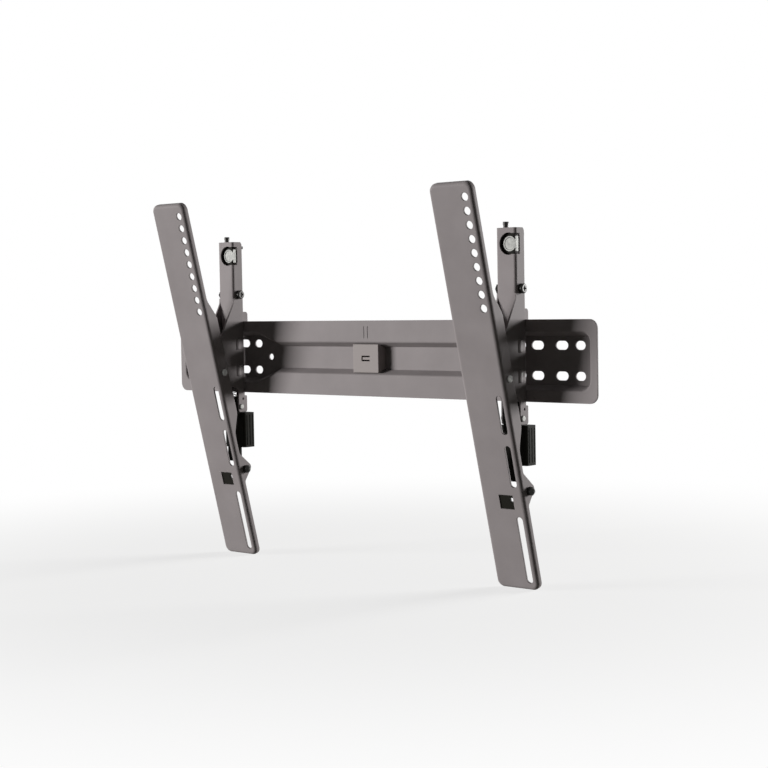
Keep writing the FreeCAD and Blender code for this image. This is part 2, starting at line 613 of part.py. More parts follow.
def ear(left):
    """Side plate that widens the flange to the pivot, with an S-shaped run above and below."""
    back = FACE_Y + EAR_DEPTH
    inside = FLANGE_BACK - BRACKET_SHEET
    top, bottom = PIVOT_Z + EAR_ABOVE + EAR_SWEEP, PIVOT_Z - EAR_BELOW - EAR_SWEEP
    corners = [
        (inside, top + EAR_SWEEP, 0), (FLANGE_BACK, top + EAR_SWEEP, 0), (FLANGE_BACK, top, EAR_ROUND),
        (back, PIVOT_Z + EAR_ABOVE, EAR_ROUND), (back, PIVOT_Z - EAR_BELOW, EAR_ROUND),
        (FLANGE_BACK, bottom, EAR_ROUND), (FLANGE_BACK, bottom - EAR_SWEEP, 0),
        (inside, bottom - EAR_SWEEP, 0),
    ]
    return slab(corners, from_side(left), Vector(BRACKET_SHEET, 0, 0))


def lug():
    """Pointed lug low on the right flange."""
    inside = FLANGE_BACK - BRACKET_SHEET
    top, bottom = LUG_TIP.z + LUG_ABOVE, LUG_TIP.z - LUG_BELOW
    corners = [
        (inside, top + LUG_ROUND, 0), (FLANGE_BACK, top + LUG_ROUND, 0), (FLANGE_BACK, top, LUG_ROUND),
        (LUG_TIP.y, LUG_TIP.z, LUG_ROUND), (FLANGE_BACK, bottom, LUG_ROUND),
        (FLANGE_BACK, bottom - LUG_ROUND, 0), (inside, bottom - LUG_ROUND, 0),
    ]
    return slab(corners, from_side(BRACKET_RIGHT - BRACKET_SHEET), Vector(BRACKET_SHEET, 0, 0))


def pan():
    """Shallow tray of sheet with a rounded front edge and rounded corners."""
    middle = FACE_TOP - BRACKET_HEIGHT / 2
    corners = rounded(BRACKET_MIDDLE, middle, BRACKET_WIDTH, BRACKET_HEIGHT, BRACKET_CORNER)
    outer = slab(corners, in_front(FACE_Y), Vector(0, FLANGE_DEPTH, 0))
    outer = outer.makeFillet(BRACKET_EDGE, edges_on_plane(outer, FACE_Y))
    floor = FACE_Y + BRACKET_SHEET
    inner = slab(inset_corners(corners, BRACKET_SHEET), in_front(floor), Vector(0, FLANGE_DEPTH, 0))
    inner = inner.makeFillet(BRACKET_EDGE - BRACKET_SHEET, edges_on_plane(inner, floor))
    return outer.cut(inner)


def leaning(shape):
    """Turn an upright piece of the bracket forward about the pivot."""
    return shape.rotated(PIVOT, Vector(1, 0, 0), TILT)


def lug_screw_axis():
    """Point on the axis of the screw in the lug, in the upright bracket."""
    return LUG_TIP - Vector(0, LUG_SCREW_FROM_TIP, 0)


def tv_bracket():
    """Tilting bracket: the pan with its holes and slots, two ears and the lug."""
    body = joined(pan(), ear(BRACKET_LEFT), ear(BRACKET_RIGHT - BRACKET_SHEET), lug())
    through = Vector(0, FLANGE_DEPTH, 0)
    front = FACE_Y - FLANGE_DEPTH / 2
    cutters = []
    for number in range(HOLE_COUNT):
        at = Vector(HOLE_X, front, FACE_TOP - HOLE_FROM_TOP - number * HOLE_PITCH)
        cutters.append(rod(HOLE_R, at, at + through))
    for from_top, length in FACE_SLOTS:
        hole = rounded(HOLE_X, FACE_TOP - from_top - length / 2, SLOT_W, length, SLOT_W / 2)
        cutters.append(slab(hole, in_front(front), through))
    square = rounded(SQUARE_X, SQUARE_Z, SQUARE_WIDTH, SQUARE_HEIGHT, 0)
    cutters.append(slab(square, in_front(front), through))
    cutters.append(cross_rod(PIVOT_R + PIN_GAP, -BRACKET_WIDTH, BRACKET_WIDTH, PIVOT_Y, PIVOT_Z))
    at = lug_screw_axis()
    cutters.append(cross_rod(LUG_SCREW_R + PIN_GAP, 0, BRACKET_WIDTH, at.y, at.z))
    return leaning(body.cut(cutters))


def hole_insert():
    """Moulded insert in the square hole: a plug with a rim behind the face and an open notch at its right."""
    face_back = FACE_Y + BRACKET_SHEET
    width, height = SQUARE_WIDTH - 2 * RUN_GAP, SQUARE_HEIGHT - 2 * RUN_GAP
    plug = slab(rounded(SQUARE_X, SQUARE_Z, width, height, 0), in_front(FACE_Y + INSERT_RECESS),
                Vector(0, BRACKET_SHEET - INSERT_RECESS + INSERT_RIM_SHEET, 0))
    rim = slab(rounded(SQUARE_X, SQUARE_Z, SQUARE_WIDTH + 2 * INSERT_RIM, SQUARE_HEIGHT + 2 * INSERT_RIM, 0),
               in_front(face_back), Vector(0, INSERT_RIM_SHEET, 0))
    right = SQUARE_X + width / 2
    notch = block((right - INSERT_NOTCH, right - RUN_GAP), (FACE_Y, FACE_Y + FLANGE_DEPTH),
                  (SQUARE_Z, SQUARE_Z + INSERT_NOTCH))
    return leaning(joined(plug, rim).cut(notch))


def lug_screw():
    """Black screw in the lug: a short shank, a drum head and a tapered point."""
    at = lug_screw_axis()
    seat = BRACKET_RIGHT + SEAT_GAP
    head_end = seat + LUG_HEAD_HEIGHT
    drum = cross_rod(LUG_HEAD_R, seat, head_end, at.y, at.z)
    tip = Vector(head_end, at.y, at.z)
    point = Part.makeCone(LUG_HEAD_R, LUG_POINT_R, LUG_POINT_HEIGHT, tip, Vector(1, 0, 0))
    shank = cross_rod(LUG_SCREW_R, seat - SEAT_GAP - LUG_SHANK, head_end, at.y, at.z)
    return leaning(joined(drum, point, shank))


def release_latch():
    """Moulded slider: a body below the arm, a stem inside it, a tooth behind the lower band and a pull."""
    bottom = LATCH_TOP - LATCH_HEIGHT
    back = -LATCH_WALL_GAP
    depth = back - LATCH_FRONT_Y
    plan = rounded(0, (back + LATCH_FRONT_Y) / 2, LATCH_WIDTH, depth, LATCH_ROUND)
    body = slab(plan, in_plan(bottom), Vector(0, 0, LATCH_HEIGHT))
    stem_half = ARM_INNER - RUN_GAP
    stem_front = LATCH_FRONT_Y - STEM_DEPTH / 2
    stem = block((-stem_half, stem_half), (stem_front, stem_front + STEM_DEPTH),
                 (LATCH_TOP - STEM_DEPTH, STEM_TOP))
    tooth_front = BAND_BACK + RUN_GAP
    tooth_left = TOOTH_OFFSET - TOOTH_WIDTH / 2
    tooth_top = TOOTH_BEHIND_BAND - PLATE_TOP
    tooth = block((tooth_left, tooth_left + TOOTH_WIDTH), (tooth_front, tooth_front + TOOTH_DEPTH),
                  (LATCH_TOP - LATCH_ROUND, tooth_top))
    pull = block((-ARM_HALF, PULL_WIDTH - ARM_HALF), (LATCH_FRONT_Y, LATCH_FRONT_Y + PULL_DEPTH),
                 (bottom - PULL_HEIGHT, bottom + PULL_DEPTH))
    width = 2 * (LATCH_PIN_R + PIN_GAP)
    length = width + LATCH_TRAVEL
    slot = slab(rounded(LATCH_FRONT_Y, LATCH_PIN_Z + LATCH_TRAVEL / 2, width, length, width / 2),
                from_side(-ARM_HALF), Vector(ARM_WIDTH, 0, 0))
    cutters = [slot]
    for number in range(LATCH_GROOVES):
        y = (back + LATCH_FRONT_Y) / 2 + (number - (LATCH_GROOVES - 1) / 2) * GROOVE_PITCH
        for side in (-LATCH_WIDTH / 2, LATCH_WIDTH / 2):
            across = (side - GROOVE_DEPTH, side + GROOVE_DEPTH)
            cutters.append(block(across, (y - GROOVE_WIDTH / 2, y + GROOVE_WIDTH / 2),
                                 (bottom + LATCH_ROUND, LATCH_TOP - LATCH_ROUND)))
    return joined(body, stem, tooth, pull).cut(cutters)


def latch_pin():
    """Rivet across the arm's foot that guides the latch."""
    outside = ARM_HALF + SEAT_GAP
    return rivet(LATCH_PIN_R, -outside, outside, LATCH_PIN_HEAD_R, LATCH_PIN_HEAD_HEIGHT,
                 LATCH_FRONT_Y, LATCH_PIN_Z)


def spring_pin():
    """Plain pin across the cheeks that the latch spring hangs on."""
    return cross_rod(SPRING_PIN_R, -ARM_HALF, ARM_HALF, LATCH_FRONT_Y, SPRING_PIN_Z)


def latch_spring():
    """Coil spring of square wire between the spring pin and the top of the latch's stem."""
    low = STEM_TOP + SPRING_WIRE / 2 + SEAT_GAP
    high = SPRING_PIN_Z - SPRING_PIN_R - SPRING_WIRE / 2 - SEAT_GAP
    path = Part.makeHelix((high - low) / SPRING_TURNS, high - low, SPRING_COIL_R)
    section = outline(rounded(SPRING_COIL_R, 0, SPRING_WIRE, SPRING_WIRE, 0), in_front(0))
    coil = Part.Wire(path.Edges).makePipeShell([section], True, True)
    return coil.translated(Vector(0, LATCH_FRONT_Y, low))


PLATE_PIECES = (wall_plate, level_block)
ARM_PIECES = (
    hook_carriage, level_plate, level_screw, hook_arm, lock_bolt, lock_nut, pivot_pin, pivot_sleeve,
    pivot_washer, pivot_spacer, tv_bracket, hole_insert, lug_screw, release_latch, latch_pin, spring_pin,
    latch_spring,
)
ARMS = {"left": -ARM_SPACING / 2, "right": ARM_SPACING / 2}

os.makedirs("parts", exist_ok=True)
for piece in PLATE_PIECES:
    piece().exportStep(f"parts/{piece.__name__}.step")
for piece in ARM_PIECES:
    shape = piece()
    for side, across in ARMS.items():
        shape.translated(Vector(across, 0, 0)).exportStep(f"parts/{piece.__name__}_{side}.step")
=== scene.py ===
# %% [markdown]
# A tilting wall mount: a pressed wall plate, and two hook arms that carry leaning brackets. The solid pieces
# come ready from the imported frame, at their real size and place, so this lesson is about looks: what each
# finish is on the real object, how light meets it, and the few fine forms (threads, drive recesses, a dished
# disc) that are easier to work out as surfaces than to cut from solids.

# %% Load the frame
import json
import math

import bpy
import numpy as np
from mathutils import Matrix, Vector


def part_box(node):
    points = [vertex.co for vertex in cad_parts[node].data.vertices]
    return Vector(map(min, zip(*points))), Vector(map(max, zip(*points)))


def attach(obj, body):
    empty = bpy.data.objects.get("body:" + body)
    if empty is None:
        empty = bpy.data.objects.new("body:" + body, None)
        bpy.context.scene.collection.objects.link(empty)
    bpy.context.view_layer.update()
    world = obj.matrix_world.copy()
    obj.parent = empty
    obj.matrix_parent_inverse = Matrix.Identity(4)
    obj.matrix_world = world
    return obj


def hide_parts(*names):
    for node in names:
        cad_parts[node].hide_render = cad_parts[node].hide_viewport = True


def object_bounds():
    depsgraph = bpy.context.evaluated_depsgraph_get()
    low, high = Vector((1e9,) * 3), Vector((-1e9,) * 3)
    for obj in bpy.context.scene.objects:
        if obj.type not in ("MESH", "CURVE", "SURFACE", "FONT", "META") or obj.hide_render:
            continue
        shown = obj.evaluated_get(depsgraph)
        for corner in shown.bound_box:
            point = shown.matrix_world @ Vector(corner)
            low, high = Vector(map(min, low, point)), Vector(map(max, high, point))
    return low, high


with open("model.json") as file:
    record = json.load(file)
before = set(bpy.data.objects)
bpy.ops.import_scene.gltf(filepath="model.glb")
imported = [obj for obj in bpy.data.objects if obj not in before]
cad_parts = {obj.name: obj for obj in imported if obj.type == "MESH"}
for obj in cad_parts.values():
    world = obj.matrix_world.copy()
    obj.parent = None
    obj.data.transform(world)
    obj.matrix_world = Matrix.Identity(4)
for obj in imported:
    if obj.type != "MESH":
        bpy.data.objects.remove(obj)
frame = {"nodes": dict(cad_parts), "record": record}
cad_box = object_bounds()
nodes = frame["nodes"]
MM = 0.001
SIDES = ("left", "right")

# %% [markdown]
# Colours are written as the hex values that a picture editor shows. Blender mixes light in linear numbers, so
# one function turns hex to linear. A second small function adds any shader node: its properties are keyword
# settings, and each input is either a number or a link from another node's output.


# %% Small helpers for materials
def linear(hex_colour):
    """Linear RGBA of an sRGB hex colour: the standard curve, a straight foot and then a power of 2.4."""
    srgb = np.array([int(hex_colour[i:i + 2], 16) for i in (1, 3, 5)]) / 255
    rgb = np.where(srgb <= 0.04045, srgb / 12.92, ((srgb + 0.055) / 1.055) ** 2.4)
    return (*rgb.tolist(), 1.0)


def add(tree, kind, inputs=None, **settings):
    """Add one shader node with its settings, and give its inputs values or links."""
    made = tree.nodes.new(kind)
    for name, value in settings.items():
        setattr(made, name, value)
    for name, value in (inputs or {}).items():
        if isinstance(value, bpy.types.NodeSocket):
            tree.links.new(value, made.inputs[name])
        else:
            made.inputs[name].default_value = value
    return made


def new_material(name):
    """An empty node material with its output node and the piece's own Object coordinates."""
    material = bpy.data.materials.new(name)
    material.use_nodes = True
    tree = material.node_tree
    tree.nodes.clear()
    output = add(tree, "ShaderNodeOutputMaterial")
    place = add(tree, "ShaderNodeTexCoord").outputs["Object"]
    return material, tree, output, place


def per_metre(size_mm):
    """Scale that gives a noise pattern features of about this size, on coordinates in metres."""
    return 1 / (size_mm * MM)


# %% [markdown]
# Powder-coated steel: the sheet is sprayed with dry paint that melts into a satin skin. Up close the skin has
# a faint orange peel, peaks under a millimetre apart, and it flows thick over cut edges, so they are never
# quite sharp. A Bevel node rounds the shading at edges, and a Bump node lays the peel over that.

# %% Powder-coated steel
PEEL_MM = 0.8
PEEL_HEIGHT_MM = 0.02
COAT_EDGE_MM = 0.9
MOTTLE_MM = 45.0


def powder_coat():
    """Satin warm-grey coat: a little uneven in colour and gloss, with orange peel and soft edges."""
    material, tree, output, place = new_material("powder_coated_steel")
    mottle = add(tree, "ShaderNodeTexNoise", {"Vector": place, "Scale": per_metre(MOTTLE_MM), "Detail": 3.0})
    colour = add(tree, "ShaderNodeValToRGB", {"Fac": mottle.outputs["Fac"]})
    colour.color_ramp.elements[0].position = 0.3
    colour.color_ramp.elements[0].color = linear("#7c7676")
    colour.color_ramp.elements[1].position = 0.7
    colour.color_ramp.elements[1].color = linear("#847e7e")
    peel = add(tree, "ShaderNodeTexNoise", {"Vector": place, "Scale": per_metre(PEEL_MM), "Detail": 2.0})
    gloss = add(tree, "ShaderNodeMapRange", {"Value": mottle.outputs["Fac"], "To Min": 0.5, "To Max": 0.6})
    edge = add(tree, "ShaderNodeBevel", {"Radius": COAT_EDGE_MM * MM}, samples=4)
    bump = add(tree, "ShaderNodeBump", {"Strength": 0.35, "Distance": PEEL_HEIGHT_MM * MM,
                                        "Height": peel.outputs["Fac"], "Normal": edge.outputs["Normal"]})
    skin = add(tree, "ShaderNodeBsdfPrincipled", {
        "Base Color": colour.outputs["Color"], "Roughness": gloss.outputs[0], "Specular IOR Level": 0.06,
        "Normal": bump.outputs["Normal"]})
    tree.links.new(skin.outputs[0], output.inputs["Surface"])
    return material


# %% [markdown]
# Bright zinc plating on small steel pieces: a thin, clear-passivated metal skin. It mirrors its surroundings
# softly, with a cloudy change of grey every few millimetres.

# %% Zinc plate
CLOUD_MM = 3.0
CLOUD_HEIGHT_MM = 0.01


def zinc_plate():
    """Grey metal with cloudy patches that change its tone, its gloss and, very slightly, its height."""
    material, tree, output, place = new_material("bright_zinc_plate")
    cloud = add(tree, "ShaderNodeTexNoise", {"Vector": place, "Scale": per_metre(CLOUD_MM), "Detail": 4.0})
    colour = add(tree, "ShaderNodeValToRGB", {"Fac": cloud.outputs["Fac"]})
    colour.color_ramp.elements[0].position = 0.35
    colour.color_ramp.elements[0].color = linear("#666664")
    colour.color_ramp.elements[1].position = 0.65
    colour.color_ramp.elements[1].color = linear("#80807d")
    gloss = add(tree, "ShaderNodeMapRange", {"Value": cloud.outputs["Fac"], "To Min": 0.6, "To Max": 0.72})
    bump = add(tree, "ShaderNodeBump", {"Strength": 0.15, "Distance": CLOUD_HEIGHT_MM * MM,
                                        "Height": cloud.outputs["Fac"]})
    skin = add(tree, "ShaderNodeBsdfPrincipled", {
        "Base Color": colour.outputs["Color"], "Roughness": gloss.outputs[0], "Metallic": 1.0,
        "Normal": bump.outputs["Normal"]})
    tree.links.new(skin.outputs[0], output.inputs["Surface"])
    return material


# %% [markdown]
# Black oxide is a thin dark skin on hardened screws and nuts. It is still metal, so it keeps a soft sheen,
# and the turning marks of the blank show through as a fine grain.

# %% Black oxide steel
TURNING_MM = 0.5
TURNING_HEIGHT_MM = 0.01


def black_oxide():
    """Near-black metal with a slightly uneven sheen."""
    material, tree, output, place = new_material("black_oxide_steel")
    grain = add(tree, "ShaderNodeTexNoise", {"Vector": place, "Scale": per_metre(TURNING_MM), "Detail": 3.0})
    gloss = add(tree, "ShaderNodeMapRange", {"Value": grain.outputs["Fac"], "To Min": 0.28, "To Max": 0.48})
    bump = add(tree, "ShaderNodeBump", {"Strength": 0.2, "Distance": TURNING_HEIGHT_MM * MM,
                                        "Height": grain.outputs["Fac"]})
    skin = add(tree, "ShaderNodeBsdfPrincipled", {
        "Base Color": linear("#1d1c1a"), "Roughness": gloss.outputs[0], "Metallic": 0.7,
        "Normal": bump.outputs["Normal"]})
    tree.links.new(skin.outputs[0], output.inputs["Surface"])
    return material


# %% [markdown]
# Moulded plastics take the grain of their steel mould. The black latch, insert and pad have a fine
# spark-eroded grain, the level block is a satin grey, and the friction washer is plain nylon. One function
# makes all three from a colour, a roughness, a grain size and a level of sheen.

# %% Moulded plastics
GRAIN_HEIGHT_MM = 0.03
GLOSS_SPREAD = 0.06


def moulded(name, colour, roughness, grain_mm, sheen):
    """Moulded plastic: one colour through and through, with an even grain in its skin."""
    material, tree, output, place = new_material(name)
    grain = add(tree, "ShaderNodeTexVoronoi", {"Vector": place, "Scale": per_metre(grain_mm)},
                feature="SMOOTH_F1")
    edge = add(tree, "ShaderNodeBevel", {"Radius": COAT_EDGE_MM * MM}, samples=4)
    bump = add(tree, "ShaderNodeBump", {
        "Strength": 0.3, "Distance": GRAIN_HEIGHT_MM * MM, "Height": grain.outputs["Distance"],
        "Normal": edge.outputs["Normal"]})
    gloss = add(tree, "ShaderNodeMapRange", {"Value": grain.outputs["Distance"],
                                             "To Min": roughness - GLOSS_SPREAD,
                                             "To Max": roughness + GLOSS_SPREAD})
    skin = add(tree, "ShaderNodeBsdfPrincipled", {
        "Base Color": linear(colour), "Roughness": gloss.outputs[0], "Specular IOR Level": sheen,
        "Normal": bump.outputs["Normal"]})
    tree.links.new(skin.outputs[0], output.inputs["Surface"])
    return material


# %% [markdown]
# Spring wire and plain turned pins are oiled steel: much darker than zinc, with a fine grain left by the
# drawing die.

# %% Drawn steel
DRAW_MM = 0.25


def drawn_steel():
    """Dark oiled steel with a fine grain in its gloss."""
    material, tree, output, place = new_material("drawn_spring_steel")
    lines = add(tree, "ShaderNodeTexNoise", {"Vector": place, "Scale": per_metre(DRAW_MM), "Detail": 2.0})
    gloss = add(tree, "ShaderNodeMapRange", {"Value": lines.outputs["Fac"], "To Min": 0.4, "To Max": 0.55})
    skin = add(tree, "ShaderNodeBsdfPrincipled", {
        "Base Color": linear("#3c3b38"), "Roughness": gloss.outputs[0], "Metallic": 1.0})
    tree.links.new(skin.outputs[0], output.inputs["Surface"])
    return material


# %% [markdown]
# The record names a material slot for each piece. Each slot gets one finish, and every piece takes its slot's
# finish.

# %% Give every piece its finish
FINISHES = {
    "powder_coat": powder_coat(),
    "block_plastic": moulded("satin_grey_plastic", "#8b8482", 0.55, 0.5, 0.06),
    "zinc_plate": zinc_plate(),
    "black_steel": black_oxide(),
    "black_plastic": moulded("black_moulded_plastic", "#171612", 0.6, 0.45, 0.04),
    "nylon": moulded("black_nylon", "#2a2926", 0.62, 0.6, 0.2),
    "spring_steel": drawn_steel(),
}
SLOT_OF = {part["node"]: part["material_slot"] for part in frame["record"]["subparts"]}
for name, piece in nodes.items():
    piece.data.materials.clear()
    piece.data.materials.append(FINISHES[SLOT_OF[name]])
print(f"finishes: {len(FINISHES)} on {len(nodes)} pieces")

# %% [markdown]
# A new piece is a mesh with its place already in its points, so its object stays at the origin and Object
# coordinates are the frame's own. It rides on a body, takes a slot's finish, and may stand in for a plain
# solid. Shading is smooth, except over edges that turn sharply.

# %% Add a piece to the frame
SHARP = math.radians(40)


def add_piece(name, body, slot, points, faces, instead_of=None):
    """One piece from points (mm, in the frame) and faces, with its body and finish."""
    mesh = bpy.data.meshes.new(name)
    mesh.from_pydata((points * MM).tolist(), [], faces)
    mesh.shade_smooth()
    mesh.set_sharp_from_angle(angle=SHARP)
    mesh.materials.append(FINISHES[slot])
    piece = bpy.data.objects.new(name, mesh)
    bpy.context.scene.collection.objects.link(piece)
    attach(piece, body)
    if instead_of:
        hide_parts(instead_of)
    print(f"{name}: {len(faces)} faces on {body}" + (f" in place of {instead_of}" if instead_of else ""))


def box_mm(node):
    """Low corner, high corner and middle of a node's box, in mm."""
    low, high = (np.array(corner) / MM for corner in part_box(node))
    return low, high, (low + high) / 2


# %% [markdown]
# A screw is a turned blank with a thread rolled into its shank. Its surface is worked out on a grid: one
# direction goes round the axis, the other follows a profile from the middle of the tip to the middle of the
# head. The thread is a triangle wave along a helix, taken off the radius. The drive recess is a depth taken
# off the head's height.

# %% Surface of a turned piece
ROUND = 144            # grid points round the axis
ROWS_PER_PITCH = 8     # grid rows along one pitch of the thread
ROUND_STEPS = 9        # corners on a quarter round
WALL_MM = 0.14         # run of a drive recess's sloping wall


def spaced(corners, step):
    """Points no wider apart than step along straight lines between (radius, height) corners."""
    corners = np.array(corners, float)
    counts = np.ceil(np.linalg.norm(np.diff(corners, axis=0), axis=1) / step).astype(int)
    lines = [np.linspace(a, b, n, endpoint=False) for a, b, n in zip(corners[:-1], corners[1:], counts)]
    return np.concatenate(lines + [corners[-1:]])


def quarter_round(radius, height, rounding):
    """Corners of a quarter circle from the side of a head to its end."""
    turn = np.linspace(0, np.pi / 2, ROUND_STEPS)
    return list(zip(radius - rounding + rounding * np.cos(turn), height - rounding + rounding * np.sin(turn)))


def bar(across, half_width):
    """1 inside a straight bar, 0 outside it, with a short sloping wall between."""
    return np.clip((half_width - np.abs(across)) / WALL_MM + 0.5, 0, 1)


def turned_surface(corners, thread, drive):
    """Points (mm) and faces of a piece round +Z, from a profile that starts and ends on the axis.

    Radius: the profile's, less depth x |2 x fraction(height / pitch - angle / turn) - 1| along the thread.
    Height: the profile's, less the drive's depth x its shape, from nothing at the head's base to all at its
    end.
    """
    start, end, pitch, depth = thread
    base, crown, sunk, shape = drive
    rows = spaced(corners, pitch / ROWS_PER_PITCH)
    radius, height = rows[1:-1, :1], rows[1:-1, 1:]
    angle = np.arange(ROUND)[None, :] * 2 * np.pi / ROUND
    wave = np.abs(2 * ((height / pitch - angle / (2 * np.pi)) % 1) - 1)
    runout = np.clip(np.minimum(height - start, end - height) / pitch, 0, 1)
    radius = radius - depth * runout * wave
    x, y = radius * np.cos(angle), radius * np.sin(angle)
    z = height - sunk * np.clip((height - base) / (crown - base), 0, 1) * shape(x, y)
    middle = np.zeros(1)
    ends = [(0, 0, rows[0, 1]), (0, 0, rows[-1, 1] - sunk * shape(middle, middle)[0])]
    points = np.concatenate([np.stack([x, y, z], -1).reshape(-1, 3), ends])
    grid = np.arange(x.size).reshape(x.shape)
    ahead = np.roll(grid, -1, axis=1)
    quads = np.stack([grid[:-1], ahead[:-1], ahead[1:], grid[1:]], -1).reshape(-1, 4)
    tip = np.stack([np.full(ROUND, x.size), ahead[0], grid[0]], -1)
    top = np.stack([np.full(ROUND, x.size + 1), grid[-1], ahead[-1]], -1)
    return points, quads.tolist() + tip.tolist() + top.tolist()


# %% [markdown]
# The level screw stands on the arm's top: a slotted head on a narrower collar, and an M5 thread below that
# lifts the carriage's tab. The lock bolt lies across the arm: an M6 pan head with a cross recess, held by the
# nut behind.

# %% Level screws and lock bolts
TIP_MM = 0.6           # chamfer at a screw's tip
LEVEL = {"pitch": 0.8, "depth": 0.49, "r": 2.5, "collar_r": 2.9, "collar": 3.0, "head": 3.6, "round": 0.6,
         "slot": 1.2}
LOCK = {"pitch": 1.0, "depth": 0.61, "r": 3.0, "head": 4.6, "round": 1.6, "arm": 2.75, "bar": 1.6,
        "sunk": 1.6}


def level_slot(x, y):
    """The slot of a level screw, open at both sides of the head."""
    return bar(y, LEVEL["slot"] / 2)


def lock_cross(x, y):
    """The cross recess of a lock bolt: two bars that end inside the head."""
    upright = bar(x, LOCK["bar"] / 2) * bar(y, LOCK["arm"])
    return np.maximum(upright, bar(y, LOCK["bar"] / 2) * bar(x, LOCK["arm"]))


for side in SIDES:
    low, high, middle = box_mm(f"level_screw_{side}")
    head_r = (high[0] - low[0]) / 2
    base = high[2] - LEVEL["head"]
    seat = base - LEVEL["collar"]
    profile = [(0, low[2]), (LEVEL["r"] - TIP_MM, low[2]), (LEVEL["r"], low[2] + TIP_MM), (LEVEL["r"], seat),
               (LEVEL["collar_r"], seat), (LEVEL["collar_r"], base), (head_r, base),
               *quarter_round(head_r, high[2], LEVEL["round"]), (0, high[2])]
    points, faces = turned_surface(profile, (low[2], seat, LEVEL["pitch"], LEVEL["depth"]),
                                   (base, high[2], LEVEL["slot"], level_slot))
    add_piece(f"threaded_level_screw_{side}", f"screw_{side}", "black_steel",
              points + (middle[0], middle[1], 0), faces, f"level_screw_{side}")

    low, high, middle = box_mm(f"lock_bolt_{side}")
    head_r = (high[1] - low[1]) / 2
    base = high[0] - LOCK["head"]
    profile = [(0, low[0]), (LOCK["r"] - TIP_MM, low[0]), (LOCK["r"], low[0] + TIP_MM), (LOCK["r"], base),
               (head_r, base), *quarter_round(head_r, high[0], LOCK["round"]), (0, high[0])]
    points, faces = turned_surface(profile, (low[0], base, LOCK["pitch"], LOCK["depth"]),
                                   (base, high[0], LOCK["sunk"], lock_cross))
    add_piece(f"threaded_lock_bolt_{side}", f"lock_{side}", "black_steel",
              points[:, (2, 0, 1)] + (0, middle[1], middle[2]), faces, f"lock_bolt_{side}")

# %% [markdown]
# The level plate shows in the arm's round window: a dished disc with a neck that goes round the arm's fold to
# an upright bar. The disc is turned like the screws, only without thread or recess. Neck and bar are plain
# blocks. A thin black pad behind the plate and a black strip along the carriage's right wall are painted
# shade:
# they stand in for the shadow deep inside the arm, so the window looks deep and no light shows through above
# the carriage.

# %% Level plates and their painted-shade pads
ARM_X = 219.5          # mm from the middle of the mount to each arm
WINDOW_Z = 127.5       # height of the window's middle, mm
DISC = {"x": 3.7, "r": 8.5, "front": -28.3, "back": -26.8, "rim": 1.5, "dish": 0.6, "round": 0.5, "step": 0.5}
NECK_HALF = 4.7        # half of the neck's height
BAR_HALF = 8.2         # half of the bar's height
NECK = ((10.5, -28.25, WINDOW_Z - NECK_HALF), (12.5, -24.2, WINDOW_Z + NECK_HALF))
BAR = ((10.9, -27.4, WINDOW_Z - BAR_HALF), (12.4, -24.3, WINDOW_Z + BAR_HALF))
# The pad and the strip are painted shade: black sheets where the inside of the arm only lies in shadow.
SHADE_PAD = ((-8.6, -26.9, 114.5), (8.6, -25.9, 139.8))          # behind the disc
SHADE_PAD_EDGE = ((6.8, -26.6, 136.5), (8.5, -8.0, 139.9))       # along the carriage's right wall


def no_drive(x, y):
    """A turned end without a recess."""
    return 0 * x


def block_surface(low, high):
    """Points and faces of a plain block between two corners."""
    points = np.stack(np.meshgrid(*zip(low, high), indexing="ij"), -1).reshape(-1, 3)
    return points, [[0, 1, 3, 2], [4, 6, 7, 5], [0, 4, 5, 1], [2, 3, 7, 6], [0, 2, 6, 4], [1, 5, 7, 3]]


def joined(surfaces):
    """Several surfaces as one list of points and one of faces."""
    starts = np.cumsum([0] + [len(points) for points, _ in surfaces])
    faces = [[corner + first for corner in face]
             for (_, some), first in zip(surfaces, starts) for face in some]
    return np.concatenate([points for points, _ in surfaces]), faces


thick, rim = DISC["back"] - DISC["front"], DISC["r"] - DISC["rim"]
profile = [(0, 0), (DISC["r"], 0), *quarter_round(DISC["r"], thick, DISC["round"]), (rim, thick),
           (rim - DISC["dish"], thick - DISC["dish"]), (0, thick - DISC["dish"])]
points, faces = turned_surface(profile, (0, thick, DISC["step"] * ROWS_PER_PITCH, 0), (0, thick, 0, no_drive))
disc = points[:, (0, 2, 1)] * (1, -1, 1) + (DISC["x"], DISC["back"], WINDOW_Z)
plate_points, plate_faces = joined([(disc, faces), block_surface(*NECK), block_surface(*BAR)])
shade_pad_points, shade_pad_faces = joined([block_surface(*SHADE_PAD), block_surface(*SHADE_PAD_EDGE)])
for side, x in zip(SIDES, (-ARM_X, ARM_X)):
    add_piece(f"dished_level_plate_{side}", f"carriage_{side}", "zinc_plate",
              plate_points + (x, 0, 0), plate_faces, f"level_plate_{side}")
    # Painted shade: the black pad and strip stand in for the shadow inside the arm.
    add_piece(f"painted_shade_pad_{side}", f"carriage_{side}", "black_plastic", shade_pad_points + (x, 0, 0), shade_pad_faces)

# %% [markdown]
# The stage is a wide pale floor just under the brackets. Far out it fades into the white of the world, so no
# horizon shows. The fade and the white world are for camera, glossy and transmission rays only: they colour
# the picture and the reflections but put no extra light on the object.

# %% Floor and world
FLOOR_RADIUS = 30.0
FLOOR_POINTS = 96
FLOOR_GAP_MM = 0.5         # left under the brackets' lower ends
FLOOR_FADE = (0.35, 1.1)   # where the fade to white starts and ends, in metres from the middle
FLOOR_GLOW = 0.72          # share of plain white in the middle
AMBIENT = 0.035            # strength of the world's light on the object
WHITE = (1, 1, 1, 1)


def seen_rays(tree):
    """1 for camera, glossy and transmission rays, 0 for the rays that light the object."""
    path = add(tree, "ShaderNodeLightPath").outputs
    some = add(tree, "ShaderNodeMath", {0: path["Is Camera Ray"], 1: path["Is Glossy Ray"]},
               operation="MAXIMUM")
    every = add(tree, "ShaderNodeMath", {0: some.outputs[0], 1: path["Is Transmission Ray"]},
                operation="MAXIMUM")
    return every.outputs[0]


